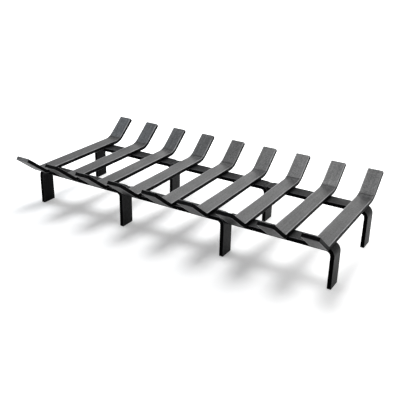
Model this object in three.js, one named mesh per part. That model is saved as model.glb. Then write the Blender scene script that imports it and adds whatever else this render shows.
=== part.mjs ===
// Log grate: nine bent flat bars welded on top of two flat-bar rails.
// Each rail is a chain of bent lengths whose ends turn down to make its four legs.
// Millimetres, +Z up, +X along the rails, +Y to the back. The legs stand on Z = 0.
// X = 0 is the middle of the rails, and Y = 0 the middle of the bars.
import * as THREE from 'three';

// Flat-bar stock
const STOCK_WIDTH = 38; // width of every bar, rail and leg
const STOCK_THICKNESS = 9.5;
const ARRIS = 0.8; // rounding along the long edges of the stock
const ARRIS_STEPS = 2;
const BEND_STEPS = 8; // flats that make up a full quarter turn

// Log bars
const BAR_COUNT = 9;
const BAR_PITCH = 93;
const BAR_FLAT = 289; // between the two bend lines, along the upper face
const FRONT_ARM = 75; // bend line to the end, along the upper face
const FRONT_ANGLE = 38; // degrees up from the flat
const FRONT_BEND = 12; // inside radius
const REAR_ARM = 75;
const REAR_ANGLE = 40;
const REAR_BEND = 41;

// Rails and legs
const RAIL_TOP = 94; // floor to the upper face of the rails
const RAIL_SPACING = 215; // front rail to rear rail, middle to middle
const FRONT_RAIL_SETBACK = 31.5; // front bend line to the middle of the front rail
const LEFT_OVERHANG = 3.3; // side of the first bar to the outside of leg 1
const RIGHT_OVERHANG = 8.7; // side of the last bar to the outside of leg 4
const LEG_TWO_BAR_INDEX = 3; // leg 2 stands under the gap after this bar
const LEG_TWO_OFFSET = 10.2; // middle of that gap to the outside of the leg
const LEG_THREE_BAR_INDEX = 6;
const LEG_THREE_OFFSET = 7.2;
const OUTER_LEG_BEND = 10; // inside radius at legs 1 and 4
const MIDDLE_LEG_BEND = 7.5; // inside radius at legs 2 and 3

// Weld beads
const BEAD_LEG = 5; // size of the fillet under each crossing
const BEAD_END_INSET = 4; // bar edge to the end of the bead
const BEAD_CROWN = 0.6; // how far the bead swells past a flat face
const BEAD_STEPS = 6;
const JOINT_CROWN = 0.8; // the joint bead's rise above the rail
const JOINT_END_INSET = 1.5; // rail edge to the end of the joint bead
const JOINT_START = 22.5; // degrees round the bend where the joint bead begins
const ROOT_GAP = 0.1; // joint bead to the bend that it follows

const QUARTER_TURN = Math.PI / 2;
const PAINT = { color: 0x17181a, roughness: 0.5, metalness: 0.15 };

const ahead = (angle) => new THREE.Vector2(Math.cos(angle), Math.sin(angle));
const rightOf = (angle) => new THREE.Vector2(Math.sin(angle), -Math.cos(angle));

// Outline of a bent strip. It walks along the strip's left face and puts the right face one
// thickness away. A move is { straight: length }, or { left: angle, inside: radius }, or
// { right: angle, inside: radius }, with the angle in radians.
function stripOutline(start, heading, moves, thickness) {
  const leftFace = [];
  const rightFace = [];
  const mark = (point, angle) => {
    leftFace.push(point);
    rightFace.push(point.clone().addScaledVector(rightOf(angle), thickness));
  };
  let angle = heading;
  let at = start;
  mark(at, angle);
  for (const move of moves) {
    if (move.straight !== undefined) {
      at = at.clone().addScaledVector(ahead(angle), move.straight);
      mark(at, angle);
      continue;
    }
    const turn = move.left ?? -move.right;
    const radius = turn > 0 ? move.inside : -(move.inside + thickness);
    const centre = at.clone().addScaledVector(rightOf(angle), -radius);
    const steps = Math.ceil((BEND_STEPS * Math.abs(turn)) / QUARTER_TURN);
    for (let step = 1; step <= steps; step += 1) {
      const facing = angle + (turn * step) / steps;
      at = centre.clone().addScaledVector(rightOf(facing), radius);
      mark(at, facing);
    }
    angle += turn;
  }
  return [...rightFace, ...leftFace.reverse()];
}

// Extrudes a strip's outline to the stock's width, rounding the long edges within that width.
function extrudeStock(outline) {
  const depth = STOCK_WIDTH - 2 * ARRIS;
  const geometry = new THREE.ExtrudeGeometry(new THREE.Shape(outline), {
    depth,
    steps: 1,
    bevelEnabled: true,
    bevelThickness: ARRIS,
    bevelSize: ARRIS,
    bevelOffset: -ARRIS,
    bevelSegments: ARRIS_STEPS,
  });
  return geometry.translate(0, 0, -depth / 2);
}

function extrudePlain(outline, width) {
  const options = { depth: width, bevelEnabled: false };
  const geometry = new THREE.ExtrudeGeometry(new THREE.Shape(outline), options);
  return geometry.translate(0, 0, -width / 2);
}

// Outlines are drawn with Z as their second axis. These turn them to run along X or along Y.
const alongX = (geometry) => geometry.rotateX(QUARTER_TURN).rotateZ(QUARTER_TURN);
const alongY = (geometry) => geometry.rotateX(QUARTER_TURN);

function makeMesh(name, geometry) {
  const mesh = new THREE.Mesh(geometry, new THREE.MeshStandardMaterial(PAINT));
  mesh.name = name;
  return mesh;
}

// Depth-wise layout: the bars' two ends stand equally far from Y = 0.
const frontTilt = THREE.MathUtils.degToRad(FRONT_ANGLE);
const rearTilt = THREE.MathUtils.degToRad(REAR_ANGLE);
const frontReach = FRONT_ARM * Math.cos(frontTilt) + STOCK_THICKNESS * Math.sin(frontTilt);
const rearReach = REAR_ARM * Math.cos(rearTilt) + STOCK_THICKNESS * Math.sin(rearTilt);
const frontBendY = (frontReach - BAR_FLAT - rearReach) / 2;
const frontRailY = frontBendY + FRONT_RAIL_SETBACK;
const rearRailY = frontRailY + RAIL_SPACING;
const barTop = RAIL_TOP + STOCK_THICKNESS;

// A bend takes this much from each straight beside it, along the inside face.
const bendTake = (inside, tilt) => inside * Math.tan(tilt / 2);

function barGeometry() {
  const frontTake = bendTake(FRONT_BEND, frontTilt);
  const rearTake = bendTake(REAR_BEND, rearTilt);
  const frontEnd = new THREE.Vector2(
    frontBendY - FRONT_ARM * Math.cos(frontTilt),
    barTop + FRONT_ARM * Math.sin(frontTilt),
  );
  const moves = [
    { straight: FRONT_ARM - frontTake },
    { left: frontTilt, inside: FRONT_BEND },
    { straight: BAR_FLAT - frontTake - rearTake },
    { left: rearTilt, inside: REAR_BEND },
    { straight: REAR_ARM - rearTake },
  ];
  return alongX(extrudeStock(stripOutline(frontEnd, -frontTilt, moves, STOCK_THICKNESS)));
}

const grate = new THREE.Group();
grate.name = 'log_grate';

const barsMiddle = (LEFT_OVERHANG - RIGHT_OVERHANG) / 2;
const barX = (index) => barsMiddle + (index - (BAR_COUNT + 1) / 2) * BAR_PITCH;
const bars = new THREE.Group();
bars.name = 'bars';
for (let index = 1; index <= BAR_COUNT; index += 1) {
  const bar = makeMesh(`bar_${index}`, barGeometry());
  bar.position.x = barX(index);
  bars.add(bar);
}
grate.add(bars);

// Outside faces of the legs. The left rail length has legs 1 and 2, the middle one leg 3,
// and the right one leg 4.
const gapX = (index) => barX(index) + BAR_PITCH / 2;
const legOneX = barX(1) - STOCK_WIDTH / 2 - LEFT_OVERHANG;
const legTwoX = gapX(LEG_TWO_BAR_INDEX) + LEG_TWO_OFFSET;
const legThreeX = gapX(LEG_THREE_BAR_INDEX) + LEG_THREE_OFFSET;
const legFourX = barX(BAR_COUNT) + STOCK_WIDTH / 2 + RIGHT_OVERHANG;
const outerBend = OUTER_LEG_BEND + STOCK_THICKNESS;
const middleBend = MIDDLE_LEG_BEND + STOCK_THICKNESS;
const bendDown = (inside) => ({ right: QUARTER_TURN, inside });
const LEFT_MOVES = [
  { straight: RAIL_TOP - outerBend },
  bendDown(OUTER_LEG_BEND),
  { straight: legTwoX - legOneX - outerBend - middleBend },
  bendDown(MIDDLE_LEG_BEND),
  { straight: RAIL_TOP - middleBend },
];
const MIDDLE_MOVES = [
  { straight: legThreeX - legTwoX - middleBend },
  bendDown(MIDDLE_LEG_BEND),
  { straight: RAIL_TOP - middleBend },
];
const RIGHT_MOVES = [
  { straight: legFourX - legThreeX - outerBend },
  bendDown(OUTER_LEG_BEND),
  { straight: RAIL_TOP - outerBend },
];

function railGeometry(startX, startZ, heading, moves) {
  const start = new THREE.Vector2(startX, startZ);
  return alongY(extrudeStock(stripOutline(start, heading, moves, STOCK_THICKNESS)));
}

// Fills the groove between a leg's bend and the square end of the next length.
function jointBeadGeometry(legX) {
  const centre = new THREE.Vector2(legX - middleBend, RAIL_TOP - middleBend);
  const radius = middleBend + ROOT_GAP;
  const start = THREE.MathUtils.degToRad(JOINT_START);
  const depthAngle = Math.acos((radius - STOCK_THICKNESS) / radius);
  const groove = [];
  for (let step = 0; step <= BEAD_STEPS; step += 1) {
    const turn = start + ((depthAngle - start) * step) / BEAD_STEPS;
    groove.push(centre.clone().addScaledVector(new THREE.Vector2(Math.sin(turn), Math.cos(turn)), radius));
  }
  const top = groove[0];
  const crown = new THREE.Vector2((top.x + legX) / 2, RAIL_TOP + JOINT_CROWN);
  const root = new THREE.Vector2(legX, groove[groove.length - 1].y);
  const outline = [...groove, root, new THREE.Vector2(legX, RAIL_TOP), crown];
  return alongY(extrudePlain(outline, STOCK_WIDTH - 2 * JOINT_END_INSET));
}

// A fillet bead in the corner at the origin, below a bar and on the +1 or -1 side of a rail.
function crossingBeadGeometry(side) {
  const outline = [new THREE.Vector2(0, 0)];
  for (let step = 0; step <= BEAD_STEPS; step += 1) {
    const along = step / BEAD_STEPS;
    const swell = BEAD_CROWN * Math.sin(Math.PI * along);
    const reach = BEAD_LEG * along + swell;
    const drop = BEAD_LEG * (1 - along) + swell;
    outline.push(new THREE.Vector2(side * Math.min(reach, BEAD_LEG), -Math.min(drop, BEAD_LEG)));
  }
  return alongX(extrudePlain(outline, STOCK_WIDTH - 2 * BEAD_END_INSET));
}

function buildRail(place, railY, beadSide) {
  const rail = new THREE.Group();
  rail.name = `${place}_rail`;
  rail.position.y = railY;
  rail.add(
    makeMesh(`${place}_rail_left`, railGeometry(legOneX, 0, QUARTER_TURN, LEFT_MOVES)),
    makeMesh(`${place}_rail_middle`, railGeometry(legTwoX, RAIL_TOP, 0, MIDDLE_MOVES)),
    makeMesh(`${place}_rail_right`, railGeometry(legThreeX, RAIL_TOP, 0, RIGHT_MOVES)),
    makeMesh(`${place}_joint_weld_2`, jointBeadGeometry(legTwoX)),
    makeMesh(`${place}_joint_weld_3`, jointBeadGeometry(legThreeX)),
  );
  for (let index = 1; index <= BAR_COUNT; index += 1) {
    const bead = makeMesh(`${place}_bar_weld_${index}`, crossingBeadGeometry(beadSide));
    bead.position.set(barX(index), (beadSide * STOCK_WIDTH) / 2, RAIL_TOP);
    rail.add(bead);
  }
  return rail;
}

grate.add(buildRail('front', frontRailY, 1), buildRail('rear', rearRailY, -1));

export default grate;
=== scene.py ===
"""Looks of a welded log grate: rounded flat-bar stock, ripple weld beads and satin black paint."""
import math
import random

import bmesh
import bpy
from mathutils import Matrix, Vector


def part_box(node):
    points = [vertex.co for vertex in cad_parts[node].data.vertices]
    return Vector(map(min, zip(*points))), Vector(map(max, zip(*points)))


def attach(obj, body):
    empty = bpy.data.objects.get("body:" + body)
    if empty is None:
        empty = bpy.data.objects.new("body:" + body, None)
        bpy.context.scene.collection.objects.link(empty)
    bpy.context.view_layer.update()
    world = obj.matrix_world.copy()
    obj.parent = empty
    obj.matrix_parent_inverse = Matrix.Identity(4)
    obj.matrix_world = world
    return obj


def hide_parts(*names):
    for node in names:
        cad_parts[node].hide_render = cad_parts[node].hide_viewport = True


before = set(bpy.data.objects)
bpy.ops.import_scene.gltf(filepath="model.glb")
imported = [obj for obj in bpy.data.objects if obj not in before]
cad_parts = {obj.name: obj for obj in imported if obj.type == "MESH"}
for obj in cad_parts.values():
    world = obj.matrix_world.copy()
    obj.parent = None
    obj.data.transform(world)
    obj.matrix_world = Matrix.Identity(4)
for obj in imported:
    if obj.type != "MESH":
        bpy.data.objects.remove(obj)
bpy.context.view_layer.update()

BAR_COUNT = 9
HIGHLIGHTED_END_BAR = 1  # the bar whose front end takes the painted highlight colour all over
PLACES = ("front", "rear")
LENGTHS = ("left", "middle", "right")
JOINTS = (2, 3)

# Flat-bar stock, in metres
bar_low, bar_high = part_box("bar_1")
STOCK_WIDTH = bar_high.x - bar_low.x
STOCK_THICKNESS = 0.0095
RAIL_TOP = bar_low.z
ARRIS = 0.0010  # rounding of the long edges and of the ends' edges
EDGE_CROWN = 0.00015  # swell of the narrow faces
END_CORNER = 0.0022  # rounding of the ends' corners, seen from above

# Bends
FRONT_ARM = 0.075
FRONT_TILT = math.radians(38)
FRONT_BEND = 0.012
REAR_ARM = 0.075
REAR_TILT = math.radians(40)
REAR_BEND = 0.041
OUTER_LEG_BEND = 0.010
MIDDLE_LEG_BEND = 0.0075
QUARTER_TURN = math.pi / 2
TIGHT_BULGE = 0.00045  # how far the edges swell at the inside of a tight bend
BULGE_RADIUS = 0.012  # inside radius at which the swell is the value above
BULGE_FADE = 0.006  # distance over which the swell dies out beside a bend
MARK_DEPTH = 0.00050  # press mark across the rear bend
MARK_HALF = 0.0034
MARK_SETBACK = 0.012  # from the end of the bend to the middle of the mark

# Weld beads
BEAD_LEG = 0.005
BEAD_CROWN = 0.0007
BEAD_INSET = 0.004
JOINT_CROWN = 0.0009
JOINT_INSET = 0.0015
JOINT_START = math.radians(22.5)
RIPPLE_PITCH = 0.0023
RIPPLE_DEPTH = 0.00022
RIPPLE_LAG = 0.45  # how far, in ripples, the middle of each ripple runs ahead of its sides
RIPPLE_SHARPNESS = 1.5  # above 1, the crests are narrower than the troughs
RIPPLE_MEAN = 0.6  # share of a crest's height that lies under the bead's even face
RIPPLE_SPREAD = 2.5  # how soon the ripples reach their full height, from the bead's sides
BEAD_END_SIZE = 0.55  # size of the bead's end, as a share of its middle
BEAD_END_RUN = 1.6 * RIPPLE_PITCH  # over which it grows to its full size

# Mesh density
STRAIGHT_STEP = 0.012
BEND_STEP = math.radians(4.5)
ARRIS_STEPS = 4
END_STEPS = 5
RIM = 0.0022  # strip beside each arris over which the painted highlight fades
BEAD_STEP = 0.0004
BEAD_FACE_POINTS = 9
JOINT_BACK_POINTS = 5
WIDE_SUBDIVISIONS = 4
NARROW_SUBDIVISIONS = 2
MARK_RINGS = (-1, -0.5, 0, 0.5, 1)  # places across a press mark, in halves of its width
MARK_CLEARANCE = 1.5  # from the mark to the next ring, in the same halves
END_CLEARANCE = 1.5  # from an end to the next ring, in rounded corners
LEAST_STEP = 1e-5  # rings nearer than this are one
TINY = 1e-6

FARTHEST_START = 50.0  # each piece takes its streaks from a place up to here
# Range of each bar's press-mark strength, which scales its dent and its painted shade.
MARK_STRENGTH = (0.4, 0.9)

draw = random.Random(7)


# ---- Paths -------------------------------------------------------------------------------

def straight(length):
    return {"length": length, "turn": 0.0, "inside": 0.0}


def left(angle, inside):
    """A bend towards the strip's left face, which is then its inside."""
    return {"length": inside * angle, "turn": angle, "inside": inside}


def right(angle, inside):
    return {"length": (inside + STOCK_THICKNESS) * angle, "turn": -angle, "inside": inside}


def ahead(angle):
    return Vector((math.cos(angle), math.sin(angle)))


def right_of(angle):
    return Vector((math.sin(angle), -math.cos(angle)))


def locate(start, heading, moves, distance):
    """Point and heading on the strip's left face at a distance from its start."""
    point, angle = start, heading
    for move in moves:
        run = min(distance, move["length"])
        if move["turn"] == 0.0:
            point = point + ahead(angle) * run
        else:
            turned = move["turn"] * run / move["length"]
            radius = move["length"] / move["turn"]
            centre = point - right_of(angle) * radius
            point = centre + right_of(angle + turned) * radius
            angle += turned
        distance -= run
        if distance <= 0:
            break
    return point, angle


def smooth(value):
    value = min(max(value, 0.0), 1.0)
    return value * value * (3 - 2 * value)


def bends_of(moves):
    """(first distance, last distance, turn, inside radius) of each bend."""
    found, at = [], 0.0
    for move in moves:
        if move["turn"]:
            found.append((at, at + move["length"], move["turn"], move["inside"]))
        at += move["length"]
    return found


def swell(moves, distance):
    """How far the left face's edges stand out here. It is negative where they draw in."""
    total = 0.0
    for first, last, turn, inside in bends_of(moves):
        rise = smooth((distance - first + BULGE_FADE) / (2 * BULGE_FADE))
        fall = smooth((last + BULGE_FADE - distance) / (2 * BULGE_FADE))
        size = TIGHT_BULGE * BULGE_RADIUS / max(inside, BULGE_RADIUS)
        total += math.copysign(size * rise * fall, turn)
    return total


def stations(moves, marks):
    """Distances of the rings: close in bends, at press marks and at both ends."""
    found, at = [], 0.0
    for move in moves:
        if move["turn"]:
            steps = max(2, math.ceil(abs(move["turn"]) / BEND_STEP))
        else:
            steps = max(1, math.ceil(move["length"] / STRAIGHT_STEP))
        found += [at + move["length"] * step / steps for step in range(steps)]
        at += move["length"]
    turns = [1 - math.cos(QUARTER_TURN * step / END_STEPS) for step in range(END_STEPS + 1)]
    ends = [END_CORNER * turn for turn in turns] + [ARRIS * turn for turn in turns[1:]]
    close = [mark + MARK_HALF * share for mark in marks for share in MARK_RINGS]
    free_of_end = END_CORNER * END_CLEARANCE
    free_of_mark = MARK_CLEARANCE * MARK_HALF
    inner = [d for d in found if free_of_end < d < at - free_of_end]
    inner = [d for d in inner if all(abs(d - mark) > free_of_mark for mark in marks)]
    every = sorted(ends + [at - d for d in ends] + inner + close)
    kept = [every[0]]
    for distance in every[1:]:
        if distance - kept[-1] > LEAST_STEP:
            kept.append(distance)
    return kept, at


# ---- Sections ----------------------------------------------------------------------------

def round_inset(distance, radius):
    """How far a corner of this radius draws in at a distance from its end."""
    if distance >= radius:
        return 0.0
    return radius - math.sqrt(max(radius * radius - (radius - distance) ** 2, 0.0))


def columns(half, subdivisions):
    """Places across a face, with one close to each arris."""
    rim = min(RIM, half / 3)
    inner = half - rim
    middle = [-inner + 2 * inner * step / subdivisions for step in range(subdivisions + 1)]
    return [-half, *middle, half]


def section(half_width, half_thickness, bulge):
    """Points (across, depth, edge) round a rounded rectangle, from the left face clockwise.
    Depth is 0 on the left face and grows towards the right one. Edge is 1 on an arris."""
    radius = min(ARRIS, half_width * 0.5, half_thickness * 0.5)
    flat_across = half_width - EDGE_CROWN - radius
    flat_depth = half_thickness - radius
    wide = columns(flat_across, WIDE_SUBDIVISIONS)
    narrow = columns(flat_depth, NARROW_SUBDIVISIONS)
    corner_angles = [QUARTER_TURN * step / ARRIS_STEPS for step in range(1, ARRIS_STEPS)]
    points = []

    def corner(across_sign, height_sign, first, last):
        """An arris, turning from the angle first to the angle last."""
        for turn in corner_angles:
            angle = first + (last - first) * turn / QUARTER_TURN
            points.append((
                across_sign * flat_across + radius * math.cos(angle),
                height_sign * flat_depth + radius * math.sin(angle),
                1.0,
            ))

    def crown(height):
        return EDGE_CROWN * (1 - (height / half_thickness) ** 2)

    side = half_width - EDGE_CROWN
    for across in wide:
        points.append((across, half_thickness, float(abs(across) == flat_across)))
    corner(1, 1, QUARTER_TURN, 0.0)
    for height in reversed(narrow):
        points.append((side + crown(height), height, 0.0))
    corner(1, -1, 0.0, -QUARTER_TURN)
    for across in reversed(wide):
        points.append((across, -half_thickness, float(abs(across) == flat_across)))
    corner(-1, -1, -QUARTER_TURN, -2 * QUARTER_TURN)
    for height in narrow:
        points.append((-side - crown(height), height, 0.0))
    corner(-1, 1, 2 * QUARTER_TURN, QUARTER_TURN)
    placed = []
    for across, height, edge in points:
        share = height / half_thickness
        moved = across * (1 + bulge * share * (1.0 if share > 0 else 0.5) / half_width)
        placed.append((moved, STOCK_THICKNESS / 2 - height, edge))
    return placed


# ---- Meshes ------------------------------------------------------------------------------

def point_attribute(mesh, name, kind, values):
    field = "vector" if kind == "FLOAT_VECTOR" else "value"
    attribute = mesh.attributes.new(name, kind, "POINT")
    for item, value in zip(attribute.data, values):
        setattr(item, field, value)


def finish_piece(name, node, material, mesh):
    """Puts a finished mesh in the scene, in the place of a CAD node."""
    mesh.materials.append(material)
    for polygon in mesh.polygons:
        polygon.use_smooth = True
    piece = bpy.data.objects.new(name, mesh)
    bpy.context.scene.collection.objects.link(piece)
    shading = piece.modifiers.new("face_weighted_normals", "WEIGHTED_NORMAL")
    shading.mode = "FACE_AREA"
    shading.weight = 100
    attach(piece, "root")
    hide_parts(node)
    return piece


def mesh_from_rings(name, rings, values):
    """A closed tube of rings of points, capped at both ends. Values holds what the points carry."""
    shape = bmesh.new()
    loops = [[shape.verts.new(point) for point in ring] for ring in rings]
    count = len(loops[0])
    for one, two in zip(loops, loops[1:]):
        for at in range(count):
            after = (at + 1) % count
            shape.faces.new((one[at], one[after], two[after], two[at]))
    shape.faces.new(loops[0])
    shape.faces.new(reversed(loops[-1]))
    bmesh.ops.recalc_face_normals(shape, faces=shape.faces)
    mesh = bpy.data.meshes.new(name)
    shape.to_mesh(mesh)
    shape.free()
    strips, edges, marks, narrow, tone = values
    # edge carries the painted highlight; mark and narrow carry painted shade
    point_attribute(mesh, "strip", "FLOAT_VECTOR", strips)
    point_attribute(mesh, "edge", "FLOAT", edges)
    point_attribute(mesh, "mark", "FLOAT", marks)
    point_attribute(mesh, "narrow", "FLOAT", narrow)
    point_attribute(mesh, "tone", "FLOAT", [tone] * len(strips))
    return mesh


def strip_mesh(name, start, heading, moves, to_space, marks=(), mark_strength=1.0, highlighted_start=False):
    """A bent length of stock. to_space(point, across) puts a profile point into the frame."""
    shift = draw.uniform(0.0, FARTHEST_START)
    tone = draw.uniform(-1.0, 1.0)
    distances, length = stations(moves, marks)
    rings, strips, edges, mark_shade, narrow = [], [], [], [], []
    for distance in distances:
        from_end = min(distance, length - distance)
        point, angle = locate(start, heading, moves, distance)
        half_width = STOCK_WIDTH / 2 - round_inset(from_end, END_CORNER)
        half_thickness = STOCK_THICKNESS / 2 - round_inset(from_end, ARRIS)
        dent = max([1 - abs(distance - mark) / MARK_HALF for mark in marks] + [0.0])
        dent = smooth(dent) * mark_strength
        # Rings round the ends' arrises take the painted highlight colour.
        end_edge = float(TINY < from_end < ARRIS)
        flat_end = from_end <= TINY
        # The chosen bar's front end takes the painted highlight colour all over.
        highlighted_end = highlighted_start and distance < ARRIS
        ring = []
        for across, depth, edge in section(half_width, half_thickness, swell(moves, distance)):
            on_left = depth < STOCK_THICKNESS / 2 - half_thickness + TINY
            sunk = MARK_DEPTH * dent if on_left else 0.0
            ring.append(to_space(point + right_of(angle) * (depth + sunk), across))
            strips.append((distance + shift, across, depth))
            on_side = abs(across) > half_width - ARRIS / 2
            # The arrises take the painted highlight colour, except the flat end caps and the ends'
            # side corners.
            unhighlighted = flat_end or (on_side and end_edge)
            arris_highlight = 0.0 if unhighlighted else max(edge, end_edge)
            edges.append(1.0 if highlighted_end else arris_highlight)
            # Press-mark share, which paints shade into the mark's groove.
            mark_shade.append(dent if on_left else 0.0)
            # Narrow faces and ends, which get painted shade.
            narrow.append(float(on_side or from_end < ARRIS / 2))
        rings.append(ring)
    return mesh_from_rings(name, rings, (strips, edges, mark_shade, narrow, tone))


def bead_mesh(name, face, back, length, to_space):
    """A weld bead. face and back are profile points, the face with its outward directions."""
    shift = draw.uniform(0.0, FARTHEST_START)
    tone = draw.uniform(-1.0, 1.0)
    count = math.ceil(length / BEAD_STEP)
    rings, strips, edges = [], [], []
    middle = sum((point for point, _ in face), Vector((0, 0))) / len(face)
    root = sum(back, Vector((0, 0))) / len(back)
    core = (middle + root) / 2
    for station in range(count + 1):
        along = length * (station / count - 0.5)
        from_end = length / 2 - abs(along)
        size = BEAD_END_SIZE + (1 - BEAD_END_SIZE) * smooth(from_end / BEAD_END_RUN)
        ring = []
        for index, (point, outward) in enumerate(face):
            share = index / (len(face) - 1)
            arch = 4 * share * (1 - share)
            phase = along / RIPPLE_PITCH - RIPPLE_LAG * arch
            wave = 0.5 + 0.5 * math.cos(2 * math.pi * phase)
            crest = wave ** RIPPLE_SHARPNESS - RIPPLE_MEAN
            height = RIPPLE_DEPTH * crest * min(1.0, RIPPLE_SPREAD * arch)
            shaped = core + (point - core) * size + outward * height
            ring.append(to_space(shaped, along))
            strips.append((along + shift, share * BEAD_LEG, height))
            # The ripples' crests take part of the painted highlight colour.
            edges.append(wave * 0.5)
        for point in back:
            ring.append(to_space(core + (point - core) * size, along))
            strips.append((along + shift, 0.0, 0.0))
            edges.append(0.0)
        rings.append(ring)
    plain = [0.0] * len(strips)
    return mesh_from_rings(name, rings, (strips, edges, plain, plain, tone))


# ---- Materials ---------------------------------------------------------------------------

def add(tree, kind, settings=None, **inputs):
    """A node with its settings and its inputs: a value is set, and a socket is linked."""
    node = tree.nodes.new(kind)
    for key, value in (settings or {}).items():
        setattr(node, key, value)
    for key, value in inputs.items():
        name = key.replace("_", " ")
        numbered = name[0] == "n" and name[1:].isdigit()
        socket = node.inputs[int(name[1:])] if numbered else node.inputs[name]
        if isinstance(value, bpy.types.NodeSocket):
            tree.links.new(value, socket)
        else:
            socket.default_value = value
    return node


def blend(tree, factor, one, two):
    """A colour mix."""
    node = tree.nodes.new("ShaderNodeMix")
    node.data_type = "RGBA"
    for socket, value in zip((node.inputs[0], node.inputs[6], node.inputs[7]), (factor, one, two)):
        if isinstance(value, bpy.types.NodeSocket):
            tree.links.new(value, socket)
        else:
            socket.default_value = value
    return node.outputs[2]


def remap(tree, value, low, high, to_low, to_high):
    names = ("Value", "From Min", "From Max", "To Min", "To Max")
    node = tree.nodes.new("ShaderNodeMapRange")
    tree.links.new(value, node.inputs["Value"])
    for name, number in zip(names[1:], (low, high, to_low, to_high)):
        node.inputs[name].default_value = number
    return node.outputs[0]


def arithmetic(tree, operation, one, two):
    node = add(tree, "ShaderNodeMath", {"operation": operation}, n0=one, n1=two)
    return node.outputs[0]


def noise(tree, vector, scale, detail=2.0, roughness=0.5):
    inputs = {"Vector": vector, "Scale": scale, "Detail": detail, "Roughness": roughness}
    return add(tree, "ShaderNodeTexNoise", **inputs).outputs[0]


# Noise in the paint, in cycles per metre
STREAK_SCALE = (8.0, 180.0, 180.0)  # drawn out along the stock
CLOUD_SCALE = 22.0
SPECK_SCALE = 330.0
SKIN_SCALE = 850.0

# Spans of noise values that are spread over the ranges below
MIDDLE = (0.3, 0.7)
NARROW_MIDDLE = (0.35, 0.65)

# What each adds to the share of the lighter colour
CLOUD_SHARE = 0.5
STREAK_SHARE = (0.0, 0.35)
TONE_SHARE = (-0.14, 0.14)
SPECK_SHARE = (-0.5, 0.5)

# Factors on the gloss
SPECK_GLOSS = (0.60, 1.40)
STREAK_GLOSS = (0.80, 1.20)
SIDE_SHADE_GLOSS = 0.04  # painted shade: share of the sheen kept on the narrow faces and ends
UNDERSIDE_SHADE_GLOSS = 0.45  # painted shade: share of the sheen kept on the lower face, which is the inner face of a rail

# Painted shade: the narrow faces and ends are darkened towards this colour.
SIDE_SHADE_COLOUR = (0.0025, 0.0026, 0.0029, 1.0)
SIDE_SHADE_SHARE = (0.0, 0.8)
# Painted shade in the press marks' grooves.
MARK_SHADE_COLOUR = (0.004, 0.004, 0.004, 1.0)
HIGHLIGHT_SPAN = (0.35, 0.6)  # of the clouds, over which the painted highlight changes
HIGHLIGHT_SHARE = (0.35, 1.0)
SPECK_ROUGHNESS = (-0.03, 0.03)
HIGHLIGHT_SMOOTHING = 0.08

# Bumps: strength, and height in metres
STREAK_BUMP = (0.35, 0.00006)
WAVE_BUMP = (0.5, 0.0006)
PEEL_HEIGHT = 0.00005
PAINT_IOR = 1.5


def carried(tree, name, output):
    """What the mesh's points carry under this name."""
    return add(tree, "ShaderNodeAttribute", {"attribute_name": name}).outputs[output]


def bump(tree, strength, height, pattern, normal=None):
    inputs = {"Strength": strength, "Distance": height, "Height": pattern}
    if normal:
        inputs["Normal"] = normal
    return add(tree, "ShaderNodeBump", **inputs).outputs[0]


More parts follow.
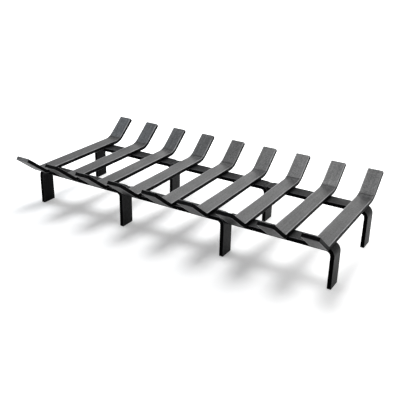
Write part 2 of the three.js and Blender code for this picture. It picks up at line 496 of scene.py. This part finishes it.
def painted(name, dark, light, highlight, roughness, peel, specular):
    """Satin paint: cloudy colour, streaks along the stock and orange peel, with a painted highlight
    on the arrises and painted shade on the narrow faces, the lower face and the press marks.
    """
    material = bpy.data.materials.new(name)
    material.use_nodes = True
    tree = material.node_tree
    shader = tree.nodes["Principled BSDF"]
    space = add(tree, "ShaderNodeTexCoord").outputs["Object"]
    strip = carried(tree, "strip", "Vector")
    edge, mark, narrow, tone = (carried(tree, n, "Fac") for n in ("edge", "mark", "narrow", "tone"))

    drawn = add(tree, "ShaderNodeMapping", Vector=strip, Scale=STREAK_SCALE).outputs[0]
    streaks = noise(tree, drawn, 1.0, 3.0, 0.6)
    clouds = noise(tree, space, CLOUD_SCALE, 3.0, 0.55)
    specks = noise(tree, space, SPECK_SCALE, 3.0, 0.6)
    skin = noise(tree, space, SKIN_SCALE, 1.0, 0.4)

    share = arithmetic(tree, "MULTIPLY_ADD", clouds, CLOUD_SHARE)
    tree.links.new(remap(tree, streaks, *MIDDLE, *STREAK_SHARE), share.node.inputs[2])
    share = arithmetic(tree, "ADD", share, remap(tree, tone, -1.0, 1.0, *TONE_SHARE))
    share = arithmetic(tree, "ADD", share, remap(tree, specks, *NARROW_MIDDLE, *SPECK_SHARE))
    colour = blend(tree, share, dark, light)
    # Painted shade: the narrow faces and ends are darkened.
    colour = blend(tree, remap(tree, narrow, 0.0, 1.0, *SIDE_SHADE_SHARE), colour, SIDE_SHADE_COLOUR)
    # Painted highlight along the arrises, patchy with the clouds.
    highlight_mask = arithmetic(tree, "MULTIPLY", edge, remap(tree, clouds, *HIGHLIGHT_SPAN, *HIGHLIGHT_SHARE))
    colour = blend(tree, highlight_mask, colour, highlight)
    # Painted shade in the press marks: darker colour here, and no sheen below.
    colour = blend(tree, mark, colour, MARK_SHADE_COLOUR)
    tree.links.new(colour, shader.inputs["Base Color"])

    rough = remap(tree, clouds, *MIDDLE, *roughness)
    rough = arithmetic(tree, "ADD", rough, remap(tree, specks, *MIDDLE, *SPECK_ROUGHNESS))
    smoothing = arithmetic(tree, "MULTIPLY", edge, HIGHLIGHT_SMOOTHING)
    rough = arithmetic(tree, "SUBTRACT", rough, smoothing)
    tree.links.new(rough, shader.inputs["Roughness"])

    normal = bump(tree, *STREAK_BUMP, streaks)
    normal = bump(tree, *WAVE_BUMP, clouds, normal)
    normal = bump(tree, peel, PEEL_HEIGHT, skin, normal)
    tree.links.new(normal, shader.inputs["Normal"])

    # Painted shade: little sheen on the narrow faces and ends.
    gloss = remap(tree, narrow, 0.0, 1.0, specular, specular * SIDE_SHADE_GLOSS)
    gloss = arithmetic(tree, "MULTIPLY", gloss, remap(tree, specks, *NARROW_MIDDLE, *SPECK_GLOSS))
    gloss = arithmetic(tree, "MULTIPLY", gloss, remap(tree, streaks, *MIDDLE, *STREAK_GLOSS))
    # No sheen in the press marks: painted shade.
    gloss = arithmetic(tree, "MULTIPLY", gloss, remap(tree, mark, 0.0, 1.0, 1.0, 0.0))
    depth = add(tree, "ShaderNodeSeparateXYZ", Vector=strip).outputs["Z"]
    # Painted shade: less sheen on the lower face.
    underside_shade = remap(tree, depth, STOCK_THICKNESS / 2, STOCK_THICKNESS, 1.0, UNDERSIDE_SHADE_GLOSS)
    gloss = arithmetic(tree, "MULTIPLY", gloss, underside_shade)
    tree.links.new(gloss, shader.inputs["Specular IOR Level"])
    shader.inputs["IOR"].default_value = PAINT_IOR
    return material


STEEL = painted(
    "satin_black_paint",
    dark=(0.0105, 0.0107, 0.0111, 1.0),
    light=(0.0290, 0.0294, 0.0302, 1.0),
    highlight=(0.220, 0.220, 0.224, 1.0),
    roughness=(0.36, 0.44),
    peel=0.5,
    specular=0.30,
)
# A darker, less glossy copy of the paint for the rails and legs: painted shade for their place under
# the bars.
SHADED_RAIL_STEEL = painted(
    "satin_black_paint_shaded_on_rails",
    dark=(0.0025, 0.0026, 0.0029, 1.0),
    light=(0.0075, 0.0078, 0.0084, 1.0),
    highlight=(0.040, 0.040, 0.042, 1.0),
    roughness=(0.44, 0.52),
    peel=0.5,
    specular=0.08,
)
WELD = painted(
    "satin_black_paint_on_weld",
    dark=(0.0030, 0.0031, 0.0034, 1.0),
    light=(0.0090, 0.0093, 0.0100, 1.0),
    highlight=(0.030, 0.030, 0.032, 1.0),
    roughness=(0.38, 0.48),
    peel=0.8,
    specular=0.12,
)


# ---- The grate ---------------------------------------------------------------------------

def build_bar(index):
    node = f"bar_{index}"
    low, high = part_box(node)
    middle_x = (low.x + high.x) / 2
    start = Vector((
        low.y + STOCK_THICKNESS * math.sin(FRONT_TILT),
        low.z + STOCK_THICKNESS + FRONT_ARM * math.sin(FRONT_TILT),
    ))
    front_reach = FRONT_ARM * math.cos(FRONT_TILT) + STOCK_THICKNESS * math.sin(FRONT_TILT)
    rear_reach = REAR_ARM * math.cos(REAR_TILT) + STOCK_THICKNESS * math.sin(REAR_TILT)
    flat = high.y - low.y - front_reach - rear_reach
    front_take = FRONT_BEND * math.tan(FRONT_TILT / 2)
    rear_take = REAR_BEND * math.tan(REAR_TILT / 2)
    moves = [
        straight(FRONT_ARM - front_take),
        left(FRONT_TILT, FRONT_BEND),
        straight(flat - front_take - rear_take),
        left(REAR_TILT, REAR_BEND),
        straight(REAR_ARM - rear_take),
    ]
    marks = [bends_of(moves)[1][1] - MARK_SETBACK]
    mesh = strip_mesh(
        f"painted_{node}", start, -FRONT_TILT, moves,
        lambda point, across: (middle_x + across, point.x, point.y),
        marks, draw.uniform(*MARK_STRENGTH), index == HIGHLIGHTED_END_BAR,
    )
    finish_piece(f"painted_{node}", node, STEEL, mesh)


def build_rail_length(place, length):
    node = f"{place}_rail_{length}"
    low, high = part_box(node)
    middle_y = (low.y + high.y) / 2
    outer = OUTER_LEG_BEND + STOCK_THICKNESS
    inner = MIDDLE_LEG_BEND + STOCK_THICKNESS
    span = high.x - low.x
    if length == "left":
        start, heading = Vector((low.x, low.z)), QUARTER_TURN
        moves = [
            straight(high.z - low.z - outer),
            right(QUARTER_TURN, OUTER_LEG_BEND),
            straight(span - outer - inner),
            right(QUARTER_TURN, MIDDLE_LEG_BEND),
            straight(high.z - low.z - inner),
        ]
    else:
        bend = MIDDLE_LEG_BEND if length == "middle" else OUTER_LEG_BEND
        start, heading = Vector((low.x, high.z)), 0.0
        moves = [
            straight(span - bend - STOCK_THICKNESS),
            right(QUARTER_TURN, bend),
            straight(high.z - low.z - bend - STOCK_THICKNESS),
        ]
    mesh = strip_mesh(
        f"painted_{node}", start, heading, moves,
        lambda point, across: (point.x, middle_y + across, point.y),
    )
    finish_piece(f"painted_{node}", node, SHADED_RAIL_STEEL, mesh)


def arc_between(one, two, crown, count):
    """Points on a shallow arc from one to two, with the directions in which it bulges."""
    chord = two - one
    outward = Vector((-chord.y, chord.x)).normalized()
    half = chord.length / 2
    radius = (half * half + crown * crown) / (2 * crown)
    centre = (one + two) / 2 - outward * (radius - crown)
    reach = math.asin(min(1.0, half / radius))
    found = []
    for step in range(count):
        angle = reach * (2 * step / (count - 1) - 1)
        direction = outward * math.cos(angle) + chord.normalized() * math.sin(angle)
        found.append((centre + direction * radius, direction))
    return found


def build_joint_weld(place, joint):
    node = f"{place}_joint_weld_{joint}"
    low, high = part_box(node)
    rail_low, rail_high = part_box(f"{place}_rail_left")
    middle_y = (rail_low.y + rail_high.y) / 2
    radius = MIDDLE_LEG_BEND + STOCK_THICKNESS
    centre = Vector((high.x - radius, RAIL_TOP - radius))

    def on_bend(angle):
        return centre + Vector((math.sin(angle), math.cos(angle))) * radius

    depth_angle = math.acos((radius - STOCK_THICKNESS) / radius)
    toe = Vector((high.x, RAIL_TOP))
    face = arc_between(on_bend(JOINT_START), toe, JOINT_CROWN, BEAD_FACE_POINTS)
    back = [Vector((high.x, low.z))]
    back += [
        on_bend(depth_angle - (depth_angle - JOINT_START) * step / JOINT_BACK_POINTS)
        for step in range(JOINT_BACK_POINTS)
    ]
    mesh = bead_mesh(
        f"painted_{node}", face, back, STOCK_WIDTH - 2 * JOINT_INSET,
        lambda point, along: (point.x, middle_y + along, point.y),
    )
    finish_piece(f"painted_{node}", node, WELD, mesh)


def build_bar_weld(place, index):
    node = f"{place}_bar_weld_{index}"
    low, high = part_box(node)
    middle_x = (low.x + high.x) / 2
    side = 1 if place == "front" else -1
    corner_y = low.y if side > 0 else high.y
    top, foot = Vector((BEAD_LEG, 0.0)), Vector((0.0, -BEAD_LEG))
    face = arc_between(top, foot, BEAD_CROWN, BEAD_FACE_POINTS)
    back = [Vector((0.0, -BEAD_LEG / 2)), Vector((0.0, 0.0)), Vector((BEAD_LEG / 2, 0.0))]
    mesh = bead_mesh(
        f"painted_{node}", face, back, STOCK_WIDTH - 2 * BEAD_INSET,
        lambda point, along: (middle_x + along, corner_y + side * point.x, RAIL_TOP + point.y),
    )
    finish_piece(f"painted_{node}", node, WELD, mesh)


for index in range(1, BAR_COUNT + 1):
    build_bar(index)
for place in PLACES:
    for length in LENGTHS:
        build_rail_length(place, length)
    for joint in JOINTS:
        build_joint_weld(place, joint)
    for index in range(1, BAR_COUNT + 1):
        build_bar_weld(place, index)


# ---- Studio ------------------------------------------------------------------------------

FLOOR_SIDE = 16.0
FLOOR_WHITE = 0.68
FLOOR_LIFT = 0.29  # added to the floor's own shade, so that it shows white where it is lit
FLOOR_EDGE_LIFT = 1.0  # the same far from the grate, where the lamps hardly reach
LIFT_RANGE = (0.32, 0.85)  # distances from the middle of the shadow over which it rises
LIFT_MIDDLE = Vector((-0.09, -0.21, 0.0))
LIFT_SPREAD = Vector((1.0, 2.0, 1.0))  # it rises faster along Y
BOARD_SIZE = (9.0, 5.0, 1.0)
BOARD_PLACE = (0.9, -2.6, 2.0)
BOARD_TURN = (math.radians(55), 0, math.radians(8))
BOARD_BLACK = 0.02
ROOM_LIGHT = 0.20
WHITE = (1.0, 1.0, 1.0)
COOL = (0.88, 1.0, 1.12)

# Lamps: name, place, what they point at, size, radiance and colour
SOFTBOXES = (
    ("overhead_softbox", (-0.36, -0.06, 1.33), (-0.36, -0.06, 0.0), (1.3, 1.0), 2.1, WHITE),
    ("overhead_core", (-0.10, -0.08, 1.32), (-0.10, -0.08, 0.0), (0.46, 0.75), 10.6, WHITE),
    ("left_softbox", (-1.32, -0.07, 1.33), (-0.37, 0.18, 0.13), (0.6, 0.6), 4.6, COOL),
    ("upper_back_softbox", (-0.2, 0.85, 1.4), (0.1, 0.15, 0.1), (1.3, 0.5), 2.2, WHITE),
    ("back_softbox", (-0.6, 2.5, 1.25), (0.0, 0.0, 0.1), (2.8, 1.1), 1.6, WHITE),
)

# The photograph's view, as measured on the grate's own edges
CAMERA_TURN = (29.949, 23.007, -1.580)  # azimuth, elevation and roll, in degrees
CAMERA_TARGET = Vector((0.03183, -0.00481, 0.08919))
CAMERA_DISTANCE = 1.52854
CAMERA_LENS = 57.207
CAMERA_SENSOR = 36.0
CAMERA_SHIFT = (-0.02253, -0.02338)


def seen_directly(tree):
    """1 for camera, glossy and transmission rays."""
    path = add(tree, "ShaderNodeLightPath")
    either = arithmetic(tree, "MAXIMUM", path.outputs["Is Camera Ray"], path.outputs["Is Glossy Ray"])
    return arithmetic(tree, "MAXIMUM", either, path.outputs["Is Transmission Ray"])


def flat_sheet(name, side, segments, material):
    """A flat square sheet for the studio."""
    shape = bmesh.new()
    bmesh.ops.create_grid(shape, x_segments=segments, y_segments=segments, size=side / 2)
    mesh = bpy.data.meshes.new(name)
    shape.to_mesh(mesh)
    shape.free()
    mesh.materials.append(material)
    sheet = bpy.data.objects.new(name, mesh)
    bpy.context.scene.collection.objects.link(sheet)
    return sheet


def build_floor():
    material = bpy.data.materials.new("white_paper")
    material.use_nodes = True
    tree = material.node_tree
    tree.nodes.remove(tree.nodes["Principled BSDF"])
    paper = add(tree, "ShaderNodeBsdfDiffuse", Color=(FLOOR_WHITE, FLOOR_WHITE, FLOOR_WHITE, 1.0))
    offset = add(tree, "ShaderNodeTexCoord").outputs["Object"]
    for operation, vector in (("SUBTRACT", LIFT_MIDDLE), ("MULTIPLY", LIFT_SPREAD)):
        step = add(tree, "ShaderNodeVectorMath", {"operation": operation}, n0=offset, n1=vector)
        offset = step.outputs[0]
    reach = add(tree, "ShaderNodeVectorMath", {"operation": "LENGTH"}, n0=offset)
    level = remap(tree, reach.outputs["Value"], *LIFT_RANGE, FLOOR_LIFT, FLOOR_EDGE_LIFT)
    lift = arithmetic(tree, "MULTIPLY", seen_directly(tree), level)
    # Painted light: the glow lightens the floor and the grate's shadow on it for camera and glossy
    # rays, least near the shadow's middle.
    glow = add(tree, "ShaderNodeEmission", Strength=lift)
    both = add(tree, "ShaderNodeAddShader", n0=paper.outputs[0], n1=glow.outputs[0])
    tree.links.new(both.outputs[0], tree.nodes["Material Output"].inputs["Surface"])
    floor = flat_sheet("floor", FLOOR_SIDE, 8, material)


def build_board():
    """A black board behind the camera's place, which keeps light off the near faces."""
    material = bpy.data.materials.new("black_cloth")
    material.use_nodes = True
    shader = material.node_tree.nodes["Principled BSDF"]
    shader.inputs["Base Color"].default_value = (BOARD_BLACK, BOARD_BLACK, BOARD_BLACK, 1.0)
    shader.inputs["Roughness"].default_value = 1.0
    board = flat_sheet("black_board", 1.0, 2, material)
    board.scale = BOARD_SIZE
    board.location = BOARD_PLACE
    board.rotation_euler = BOARD_TURN
    board.visible_camera = False


def build_world(diffuse_level):
    world = bpy.data.worlds.new("studio")
    bpy.context.scene.world = world
    world.use_nodes = True
    tree = world.node_tree
    background = tree.nodes["Background"]
    background.inputs["Color"].default_value = (1.0, 1.0, 1.0, 1.0)
    level = remap(tree, seen_directly(tree), 0.0, 1.0, diffuse_level, 1.0)
    tree.links.new(level, background.inputs["Strength"])


def build_softbox(name, location, target, size, radiance, colour):
    """A square-on rectangular lamp, with its brightness given as its radiance."""
    lamp = bpy.data.lights.new(name, "AREA")
    lamp.color = colour
    lamp.shape = "RECTANGLE"
    lamp.size, lamp.size_y = size
    lamp.energy = radiance * math.pi * size[0] * size[1]
    holder = bpy.data.objects.new(name, lamp)
    bpy.context.scene.collection.objects.link(holder)
    holder.location = location
    aim = Vector(target) - Vector(location)
    holder.rotation_euler = aim.to_track_quat("-Z", "Y").to_euler()
    holder.visible_camera = False


def build_camera():
    azimuth, elevation, roll = (math.radians(turn) for turn in CAMERA_TURN)
    back = Vector((
        math.sin(azimuth) * math.cos(elevation),
        -math.cos(azimuth) * math.cos(elevation),
        math.sin(elevation),
    ))
    level_right = (-back).cross(Vector((0, 0, 1))).normalized()
    level_down = (-back).cross(level_right)
    rightward = level_right * math.cos(roll) + level_down * math.sin(roll)
    downward = level_down * math.cos(roll) - level_right * math.sin(roll)
    data = bpy.data.cameras.new("camera")
    data.sensor_width = CAMERA_SENSOR
    data.lens = CAMERA_LENS
    data.shift_x, data.shift_y = CAMERA_SHIFT
    camera = bpy.data.objects.new("camera", data)
    bpy.context.scene.collection.objects.link(camera)
    turn = Matrix((rightward, -downward, back)).transposed().to_4x4()
    camera.matrix_world = Matrix.Translation(CAMERA_TARGET + back * CAMERA_DISTANCE) @ turn
    bpy.context.scene.camera = camera


build_floor()
build_board()
build_world(ROOM_LIGHT)
for softbox in SOFTBOXES:
    build_softbox(*softbox)
build_camera()
bpy.context.scene.view_settings.view_transform = "Standard"
